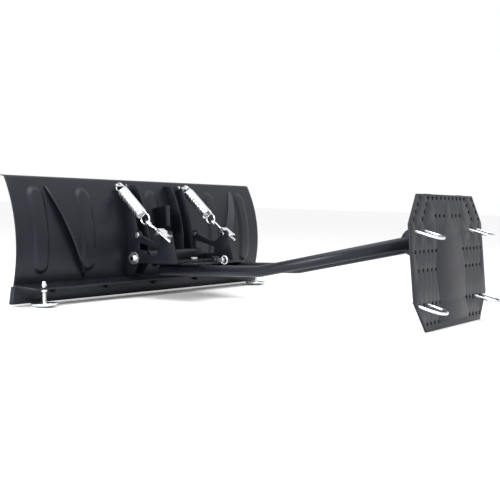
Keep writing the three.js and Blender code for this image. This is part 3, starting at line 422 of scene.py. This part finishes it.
# %% The ribs
RIB_SPLAY = math.radians(42)      # they lean towards the blade's ends
RIB_TOP, RIB_BOTTOM = (480.0, 366.0), (338.0, 68.0)
RIB_SHEET, RIB_DEPTH, RIB_END_DEPTH = 5.0, 30.0, 8.0
RIB_CLEAR = 0.2


def crescent_rib():
    top, bottom = Vector(RIB_TOP), Vector(RIB_BOTTOM)
    bm = bmesh.new()
    bmesh.ops.create_grid(bm, x_segments=60, y_segments=4, size=0.5)
    for vert in bm.verts:
        t = vert.co.x + 0.5
        x, z = top.lerp(bottom, t)
        clear = max(bead_rise(x - 10, z + step) for step in (-14, 0, 14)) + 3 * GAP
        swell = math.sin(math.pi * t) ** 0.7 if 0 < t < 1 else 0.0
        depth = RIB_END_DEPTH + (RIB_DEPTH - RIB_END_DEPTH) * swell
        reach = depth * (vert.co.y + 0.5)
        back = on_arc(z)[0][0] + SHEET / 2 + clear + RIB_CLEAR
        vert.co = (x + reach * math.sin(RIB_SPLAY), back + reach * math.cos(RIB_SPLAY), z)
    bmesh.ops.recalc_face_normals(bm, faces=bm.faces)
    bmesh.ops.solidify(bm, geom=bm.faces, thickness=RIB_SHEET)
    shift = RIB_SHEET / 2
    side = bm.faces[:][0].normal.x
    bmesh.ops.translate(bm, vec=(shift if side < 0 else -shift, 0, 0), verts=bm.verts)
    return bm


publish_pair(crescent_rib, "diagonal_rib")
print("ribs made")

# %% [markdown]
# ## Plates, angles and channels
# The flat and folded plates have the right outline in CAD already. Sheet metal is never
# quite sharp, though, and it is the rounded edges that catch the light. Each plate is
# copied, its loose triangles are merged back into whole faces, and its corners bevelled.

# %% Soften the edges of a CAD plate
def softened(node, width=0.7):
    bm = bmesh.new()
    bm.from_mesh(frame["nodes"][node].data)
    bmesh.ops.remove_doubles(bm, verts=bm.verts, dist=2e-6)
    bmesh.ops.dissolve_limit(
        bm, angle_limit=math.radians(0.6), verts=bm.verts, edges=bm.edges)
    corners = [
        edge for edge in bm.edges
        if len(edge.link_faces) == 2 and edge.calc_face_angle(0.0) > math.radians(35)
    ]
    bmesh.ops.bevel(
        bm, geom=corners, offset=width * MM, segments=2, profile=0.5,
        affect="EDGES", material=-1, clamp_overlap=True)
    bmesh.ops.triangulate(bm, faces=[face for face in bm.faces if len(face.verts) > 4])
    return publish_one(bm, node, drawn=False, outward=False)


PLATES = ["cutting_edge", "bottom_angle", "lift_bracket", "swivel_base", "cross_channel"]
PLATES += ["sector_plate", "pin_guide", "lock_pin"]
for name in ("blade_post", "head_side", "spring_bracket", "pivot_bracket"):
    PLATES += [name + "_left", name + "_right"]
for node in PLATES:
    softened(node)
print("softened plates:", len(PLATES))

# %% [markdown]
# ## The mount plate
# The eight-sided plate has row upon row of punched holes, so that the U-bolts can be moved
# to suit a vehicle. A flat fill between the outline and the round holes makes the face, an
# extrusion makes the thickness, and a small bevel takes the sharpness off.

# %% Where the plate is
PLATE_CENTRE = Vector((0.0, 1154.0, 117.6))
PLATE_LEAN = math.radians(-3.4)
PLATE_SHEET = 6.0
plate_up = Vector((0.0, math.sin(PLATE_LEAN), math.cos(PLATE_LEAN)))
plate_out = Vector((0.0, math.cos(PLATE_LEAN), -math.sin(PLATE_LEAN)))
HOLE_ROWS = [
    (177, (14, 42, 71, 99, 128, 183)), (158, (144, 199)), (138, (158, 214)), (118, (175, 231)),
    (127, (28, 57, 85)), (30, (97, 124, 151, 179, 206, 233)), (-21, (109, 136, 163, 191, 220)),
    (-113, (96, 121, 146, 201)), (-166, (113, 138, 164, 189)),
]
UBOLTS = {"ubolt_upper": (189.0, 86.0), "ubolt_lower": (201.0, -114.0)}
UBOLT_SPREAD, UBOLT_REACH, UBOLT_ROD = 30.0, 70.0, 4.0
HOLE_RADIUS, UBOLT_HOLE_RADIUS = 5.5, 6.2
PLATE_HALF_WIDTH, PLATE_HALF_HEIGHT = 256.0, 187.3
PLATE_CUT_ACROSS, PLATE_CUT_UP = 62.0, 82.0


def plate_point(u, v, n):
    return PLATE_CENTRE + Vector((u, 0, 0)) + plate_up * v + plate_out * n


# %% The plate with its holes
def ring_of(bm, u, v, radius, count):
    made = bmesh.ops.create_circle(bm, cap_ends=False, segments=count, radius=radius)
    bmesh.ops.translate(bm, vec=(u, v, 0), verts=made["verts"])


def mount_plate():
    bm = bmesh.new()
    w, h = PLATE_HALF_WIDTH, PLATE_HALF_HEIGHT
    cu, cv = PLATE_CUT_ACROSS, PLATE_CUT_UP
    corners = [
        (w, h - cv), (w - cu, h), (cu - w, h), (-w, h - cv),
        (-w, cv - h), (cu - w, -h), (w - cu, -h), (w, cv - h)]
    rim = [bm.verts.new((u, v, 0.0)) for u, v in corners]
    for a, b in zip(rim, rim[1:] + rim[:1]):
        bm.edges.new((a, b))
    holes = 0
    for side in (1, -1):
        for v, row in HOLE_ROWS:
            for u in row:
                ring_of(bm, side * u, v, HOLE_RADIUS, 16)
                holes += 1
        for u, v in UBOLTS.values():
            for leg in (-UBOLT_SPREAD, UBOLT_SPREAD):
                ring_of(bm, side * u + leg, v, UBOLT_HOLE_RADIUS, 16)
                holes += 1
    bmesh.ops.triangle_fill(bm, use_beauty=True, edges=bm.edges[:], normal=(0, 0, 1))
    made = bmesh.ops.extrude_face_region(bm, geom=bm.faces[:])
    lifted = [item for item in made["geom"] if isinstance(item, bmesh.types.BMVert)]
    bmesh.ops.translate(bm, vec=(0, 0, PLATE_SHEET), verts=lifted)
    bmesh.ops.recalc_face_normals(bm, faces=bm.faces)
    sharp_edges = [edge for edge in bm.edges if edge.calc_face_angle(0.0) > math.radians(60)]
    bmesh.ops.bevel(
        bm, geom=sharp_edges, offset=0.5, segments=2, profile=0.5, affect="EDGES",
        material=-1, clamp_overlap=True)
    axes = Matrix((Vector((1, 0, 0)), plate_up, -plate_out)).transposed().to_4x4()
    origin = plate_point(0, 0, PLATE_SHEET / 2)
    bmesh.ops.transform(bm, matrix=Matrix.Translation(origin) @ axes, verts=bm.verts)
    publish_one(bm, "mount_plate")
    return holes


print("holes in the plate:", mount_plate())

# %% [markdown]
# ## U-bolts
# Each U-bolt is 8 mm rod bent round a vehicle's frame tube. The legs droop, because
# nothing is clamped in them. Both legs are threaded where they pass the plate.

# %% The U-bolts
def ubolt(u, v):
    droop = math.radians(20)
    out = plate_out * math.cos(droop) - plate_up * math.sin(droop)
    bend_from = UBOLT_REACH - UBOLT_SPREAD

    def at(side, along):
        return plate_point(u + side, v, 0) + out * along

    line = [at(UBOLT_SPREAD, 24 * i / 3) for i in range(4)]
    for degrees in range(0, 181, 6):
        angle = math.radians(degrees)
        line.append(at(UBOLT_SPREAD * math.cos(angle), bend_from + UBOLT_SPREAD * math.sin(angle)))
    line += [at(-UBOLT_SPREAD, 24 - 24 * i / 3) for i in range(4)]
    parts = [swept(line, UBOLT_ROD, rounds=4)]
    for side in (UBOLT_SPREAD, -UBOLT_SPREAD):
        parts.append(shank(at(side, 2), at(side, -20), 3.9, 0.5, 1.25))
        parts.append(shank(at(side, 1), at(side, 20), 4.1, 1.0, 1.25))
        parts.append(hexagon(at(side, -14), at(side, -6.6), 7.5))
    return together(*parts)


for name, (u, v) in UBOLTS.items():
    publish_pair(lambda: ubolt(u, v), name)
print("U-bolts made")

# %% [markdown]
# ## Push arms
# Two round tubes carry the blade. Each is bent once, so that it rises towards the
# vehicle. A tube with open ends is swept, and Solidify thickens its wall inwards.

# %% The arms
ARM_X, ARM_RADIUS, ARM_Z = 114.0, 18.0, 82.0
ARM_SLOPE, ARM_BEND_Y, ARM_BEND_RADIUS = 0.173, 568.0, 130.0
ARM_FRONT_Y, ARM_END_Y, ARM_WALL = 162.0, 1108.0, 3.0


def push_arm():
    slope = math.atan(ARM_SLOPE)
    tangent = ARM_BEND_RADIUS * math.tan(slope / 2)
    line = [(ARM_X, ARM_FRONT_Y, ARM_Z)]
    for i in range(13):
        angle = slope * i / 12
        line.append((
            ARM_X,
            ARM_BEND_Y - tangent + ARM_BEND_RADIUS * math.sin(angle),
            ARM_Z + ARM_BEND_RADIUS * (1 - math.cos(angle))))
    line.append((ARM_X, ARM_END_Y, ARM_Z + (ARM_END_Y - ARM_BEND_Y) * ARM_SLOPE))
    return swept(line, ARM_RADIUS, rounds=8, caps=False)


for piece in publish_pair(push_arm, "push_arm"):
    wall = piece.modifiers.new("tube_wall", "SOLIDIFY")
    wall.thickness = ARM_WALL * MM
    wall.offset = -1.0
print("arms made")

# %% [markdown]
# ## Trip springs
# Two close-wound springs hold the blade upright, and stretch when its edge hits something.
# The wire is one line: a hook, 26 touching turns and a second hook. Each spring joins
# the blade to the head; it is attached to neither body and does not bend as the blade trips.

# %% The springs
SPRING_X = 178.0
spring_start = Vector((SPRING_X, 46.8, 353.8))
spring_end = Vector((SPRING_X, 133.3, 270.8))
SPRING_WIRE, COIL_RADIUS, TURNS, HOOK_NECK = 4.6, 17.7, 26, 5.0
TOP_HOOK, LOW_HOOK = 13.5, 17.7
spring_line = (spring_end - spring_start).normalized()
spring_up = Vector((0.0, -spring_line.z, spring_line.y))


def hook(origin, outward, radius):
    centre = origin + outward * (radius + HOOK_NECK)
    line = []
    for degrees in range(110, -151, -10):
        angle = math.radians(degrees)
        line.append(centre + outward * radius * math.cos(angle) + spring_up * radius * math.sin(angle))
    return line


def trip_spring():
    line = hook(spring_start, -spring_line, TOP_HOOK)[::-1]
    per_turn = 20
    steps = per_turn * TURNS
    for i in range(steps + 1):
        angle = math.pi / 2 + math.tau * i / per_turn
        centre = spring_start.lerp(spring_end, i / steps)
        side = Vector((math.cos(angle), 0, 0)) + spring_up * math.sin(angle)
        line.append(centre + side * COIL_RADIUS)
    line += hook(spring_end, spring_line, LOW_HOOK)
    return swept(line, SPRING_WIRE / 2 - 0.03, rounds=2)


def spring_pair():
    for side, name in ((1, "trip_spring_left"), (-1, "trip_spring_right")):
        bm = trip_spring()
        if side < 0:
            bmesh.ops.transform(bm, matrix=Matrix.Scale(-1.0, 4, (1, 0, 0)), verts=bm.verts)
            bmesh.ops.reverse_faces(bm, faces=bm.faces)
        piece = publish(bm, name)
        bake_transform(piece)


spring_pair()
print("spring turns:", TURNS)

# %% [markdown]
# ## Spring rods
# A rod hooks into each spring's lower loop and passes through a yoke on the head. The nut
# behind the yoke's wall sets how hard the spring pulls, so the rod's tail is threaded.

# %% The rods
rod_hook = spring_end + spring_line * (HOOK_NECK + 2 * LOW_HOOK)
rod_tip = Vector((SPRING_X, 258.0, 177.0))
rod_line = (rod_tip - rod_hook).normalized()
rod_length = (rod_tip - rod_hook).length
ROD_RADIUS = 3.6
YOKE_FROM, YOKE_TO = 53.0, 99.0


def rod_point(along, x=SPRING_X):
    point = rod_hook + rod_line * along
    return Vector((x, point.y, point.z))


def spring_rod():
    turn = SPRING_WIRE / 2 + ROD_RADIUS + 2 * GAP
    coarse = [rod_point(9, SPRING_X - turn)]
    for degrees in range(-90, 91, 30):
        angle = math.radians(degrees)
        coarse.append(rod_point(-turn * math.cos(angle), SPRING_X + turn * math.sin(angle)))
    coarse += [rod_point(16, SPRING_X + turn * 0.6), rod_point(30), rod_point(40)]
    tail = shank(rod_point(39), rod_point(rod_length), ROD_RADIUS, 4.0, 1.25)
    nut = hexagon(rod_point(YOKE_FROM + 3.4), rod_point(YOKE_FROM + 10), 6.5)
    return together(swept(smooth_line(coarse), ROD_RADIUS, rounds=4), tail, nut)


publish_pair(spring_rod, "spring_rod")
print("rod length:", round(rod_length), "mm")

# %% [markdown]
# ## Skids
# A skid is a shallow dish on a stem, which keeps the edge off the ground. It is spun in
# one go, dish and stem together. A collar and a clamp hold the stem in the bottom angle.

# %% Skids, spacers and clamps
SKID = (563.0, 77.0)
STEM = 6.0
ANGLE_SHEET, ANGLE_TOP = 5.0, 64.0
COLLAR_RADIUS = 9.5
angle_drop = math.tan(LEAN)
corner_y, corner_z = stack(EDGE_THICK + 2 * GAP + SHEET, ANGLE_TOP)
leg_top = corner_z - (SKID[1] - corner_y) * angle_drop
leg_bottom = leg_top - ANGLE_SHEET / math.cos(LEAN)
collar_slack = COLLAR_RADIUS * angle_drop + GAP


def at_skid(profile):
    return turned(profile, (*SKID, 0.0), (*SKID, 1.0), steps=48)


def skid_shoe():
    dish = [
        (0.0, 0.2), (8, 0.4), (16, 1.0), (23, 2.2), (30, 3.8), (35, 5.8), (38, 7.6),
        (40.5, 9.7), (41.8, 11.2)]
    lip = [
        (42.0, 12.0), (41.2, 13.0), (39.0, 13.0), (34, 9.2), (24, 6.0), (11, 4.8),
        (8.0, 5.8), (6.2, 8.0)]
    stem = [(STEM, 10.0), (STEM, 78.0), (STEM - 0.6, 79.4), (STEM - 2, 80.0), (0.0, 80.0)]
    return at_skid([(radius, height - 12.0) for radius, height in dish + lip + stem])


def collar(bottom, heights):
    bore = STEM + 0.4
    outside = [(radius, bottom + height) for radius, height in heights]
    low, high = outside[0][1], outside[-1][1]
    return at_skid([(bore, low)] + outside + [(bore, high), (bore, low)])


publish_pair(skid_shoe, "skid_shoe")
SPACER_SHAPE = [(9.0, 0), (COLLAR_RADIUS, 0.5), (COLLAR_RADIUS, 7.5), (9.0, 8)]
NUT_SHAPE = [(9.0, 0), (COLLAR_RADIUS, 0.5), (COLLAR_RADIUS, 3), (8.2, 6), (7.4, 8.5), (7.0, 9)]
publish_pair(lambda: collar(leg_bottom - collar_slack - 8, SPACER_SHAPE), "skid_spacer")
publish_pair(lambda: collar(leg_top + collar_slack, NUT_SHAPE), "skid_nut")
print("skids made")

# %% [markdown]
# ## The bolts, pins and washers
# Everything that holds the plow together. Each line gives where the fastener starts and
# ends, its radius, and how deep its head and nut are.

# %% Bolts of the cutting edge
for number, x in enumerate((-476, -238, 0, 238, 476), start=1):
    y0, z0 = stack(-4.0, 38.0)
    y1, z1 = stack(30.0, 38.0)
    nut_from = 4 + EDGE_THICK + SHEET + ANGLE_SHEET + 3 * GAP
    publish_one(bolt((x, y0, z0), (x, y1, z1), 5, 3.7, nut_from, 8), f"edge_bolt_{number}")
print("edge bolts made")

# %% Bolts of the head
STOP = (96.0, 202.0)
SIDE_INNER, SIDE_SHEET = 152.0, 6.0
POST_INNER, POST_OUTER, POST_SHEET = 92.0, 150.0, 4.0
WASHER_SHEET, YOKE_WALL = 3.5, 3.0
side_out = SIDE_INNER + SIDE_SHEET + GAP
yoke_middle = rod_point((YOKE_FROM + YOKE_TO) / 2)
pin_back = HOOK_NECK + 2 * TOP_HOOK - SPRING_WIRE / 2 - 4.0 - GAP
pin_at = spring_start - spring_line * pin_back


def trip_bolt():
    out = side_out + WASHER_SHEET + GAP
    return bolt((out + 8, *PIVOT), (80, *PIVOT), 6, 8, out + 8 - (POST_INNER - GAP), 9)


def trip_washer():
    profile = [(6.4, 0.0), (20.9, 0), (21.5, 0.6), (21.5, 2.9), (20.9, 3.5), (6.4, 3.5), (6.4, 0.0)]
    return turned(profile, (side_out, *PIVOT), (side_out + 1, *PIVOT), steps=48)


def stop_bolt():
    body = shank((POST_OUTER - POST_SHEET - 2, *STOP), (side_out + 1, *STOP), 7)
    return together(body, hexagon((side_out, *STOP), (side_out + 6, *STOP), 10))


def spring_pin():
    y, z = pin_at.y, pin_at.z
    return bolt((POST_OUTER - POST_SHEET - 5, y, z), (SPRING_X + 12, y, z), 4, 4.7, 42, 5)


def bracket_bolt():
    y, z = yoke_middle.y, yoke_middle.z
    inner = SIDE_INNER - GAP - 5
    outer = SIDE_INNER + SIDE_SHEET + 2 * GAP + YOKE_WALL + 5
    return bolt((inner, y, z), (outer, y, z), 4, 5, outer - inner - 5, 5)


publish_pair(trip_bolt, "trip_bolt")
publish_pair(trip_washer, "trip_washer")
publish_pair(stop_bolt, "stop_bolt")
publish_pair(spring_pin, "spring_pin")
publish_pair(bracket_bolt, "bracket_bolt")
print("head bolts made")

# %% Bolts of the push frame
KING_Y, KING_END_Z, KING_HEAD = 210.0, 84.0, 9.0
BASE_BOTTOM, BASE_SHEET, SECTOR_BOTTOM = 105.8, 6.0, 100.3
ARM_PIVOT_Y, EAR_SHEET = 1086.0, 5.0
ARM_BOLTS = {"arm_bolt_front": 262.0, "arm_bolt_rear": 314.0}
king_head_z = BASE_BOTTOM + BASE_SHEET + GAP + KING_HEAD
ear_in = ARM_X - ARM_RADIUS - 0.6 - EAR_SHEET - GAP
ARM_PIVOT = (ARM_PIVOT_Y, ARM_Z + (ARM_PIVOT_Y - ARM_BEND_Y) * ARM_SLOPE)


def arm_bolt(y):
    top, nut_top = 105.0, 93.2
    head = turned([(0, 0), (8.6, 0), (9, 0.4), (9, 2.3), (0, 2.3)], (ARM_X, y, top), (ARM_X, y, 102), 32)
    rod = shank((ARM_X, y, top), (ARM_X, y, ARM_Z + 2), 5)
    return together(head, rod, hexagon((ARM_X, y, nut_top), (ARM_X, y, nut_top - 7), 8.75))


def pivot_pin():
    head = ARM_X - 3.4
    return bolt((head, *ARM_PIVOT), (ear_in - 12, *ARM_PIVOT), 6, 7, head - ear_in, 9)


def kingpin():
    nut_from = king_head_z - SECTOR_BOTTOM + GAP
    return bolt((0, KING_Y, king_head_z), (0, KING_Y, KING_END_Z), 8, KING_HEAD, nut_from, 10, 1.6)


publish_one(kingpin(), "kingpin")
for name, y in ARM_BOLTS.items():
    publish_pair(lambda: arm_bolt(y), name)
publish_pair(pivot_pin, "pivot_pin")
print("frame bolts made")

# %% [markdown]
# ## The pull ring
# A ring of thick wire hangs in the lock pin's eye. A small circle spun round gives it.

# %% The ring
RING_RADIUS, RING_WIRE = 13.0, 2.5
RING_PLACE = (0.0, 343.0, 112.5)


def pull_ring():
    bm = bmesh.new()
    made = bmesh.ops.create_circle(bm, cap_ends=False, segments=16, radius=RING_WIRE)
    bmesh.ops.rotate(bm, verts=made["verts"], matrix=Matrix.Rotation(math.pi / 2, 3, "X"))
    bmesh.ops.translate(bm, vec=(RING_RADIUS, 0, 0), verts=made["verts"])
    bmesh.ops.spin(
        bm, geom=bm.verts[:] + bm.edges[:], cent=(0, 0, 0), axis=(0, 0, 1),
        angle=math.tau, steps=48, use_merge=True)
    bmesh.ops.rotate(bm, verts=bm.verts, matrix=Matrix.Rotation(math.pi / 2, 3, "Y"))
    bmesh.ops.translate(bm, vec=RING_PLACE, verts=bm.verts)
    return bm


publish_one(pull_ring(), "pull_ring")
print("ring made")

# %% [markdown]
# ## Floor, light and camera
# A pale floor and a white surround keep the black paint readable: what the eye sees on a
# dark satin surface is mostly the light around it. One large soft light hangs overhead, a
# smaller one stands beside the blade, and the surround fills the rest.

# %% The floor
def floor():
    bm = bmesh.new()
    bmesh.ops.create_grid(bm, x_segments=1, y_segments=1, size=30.0)
    mesh = bpy.data.meshes.new("floor")
    bm.to_mesh(mesh)
    bm.free()
    material = bpy.data.materials.new("pale_floor")
    material.use_nodes = True
    shader = material.node_tree.nodes["Principled BSDF"]
    shader.inputs["Base Color"].default_value = (0.93, 0.93, 0.93, 1.0)
    shader.inputs["Roughness"].default_value = 0.9
    shader.inputs["Specular IOR Level"].default_value = 0.1
    mesh.materials.append(material)
    ground = bpy.data.objects.new("floor", mesh)
    ground.location.z = -0.0005
    bpy.context.scene.collection.objects.link(ground)


floor()

# %% The lights
def soft_light(name, place, towards, size, watts):
    lamp = bpy.data.lights.new(name, "AREA")
    lamp.shape = "SQUARE"
    lamp.size = size
    lamp.energy = watts
    holder = bpy.data.objects.new(name, lamp)
    holder.location = place
    holder.rotation_euler = (Vector(towards) - Vector(place)).to_track_quat("-Z", "Y").to_euler()
    bpy.context.scene.collection.objects.link(holder)


surround = bpy.data.worlds.new("white_surround")
surround.use_nodes = True
surround.node_tree.nodes["Background"].inputs["Color"].default_value = (1.0, 1.0, 1.0, 1.0)
surround.node_tree.nodes["Background"].inputs["Strength"].default_value = 1.0
bpy.context.scene.world = surround
bpy.context.scene.view_settings.view_transform = "Standard"
soft_light("overhead", (0.3, 0.4, 2.8), (0.0, 0.0, 0.2), 2.4, 70.0)
soft_light("beside_blade", (2.6, -0.1, 1.0), (0.0, -0.4, 0.25), 0.8, 60.0)

# %% The camera
def camera():
    lens = bpy.data.cameras.new("camera")
    lens.lens = 64.8
    lens.sensor_width = 36.0
    eye = Vector((2.4362, 1.5764, 0.3441))
    look = Vector((-0.8149, -0.5770, -0.0556))
    turn = look.to_track_quat("-Z", "Y").to_matrix().to_4x4()
    holder = bpy.data.objects.new("camera", lens)
    holder.matrix_world = Matrix.Translation(eye) @ turn @ Matrix.Rotation(math.radians(1.5), 4, "Z")
    bpy.context.scene.collection.objects.link(holder)
    bpy.context.scene.camera = holder


camera()
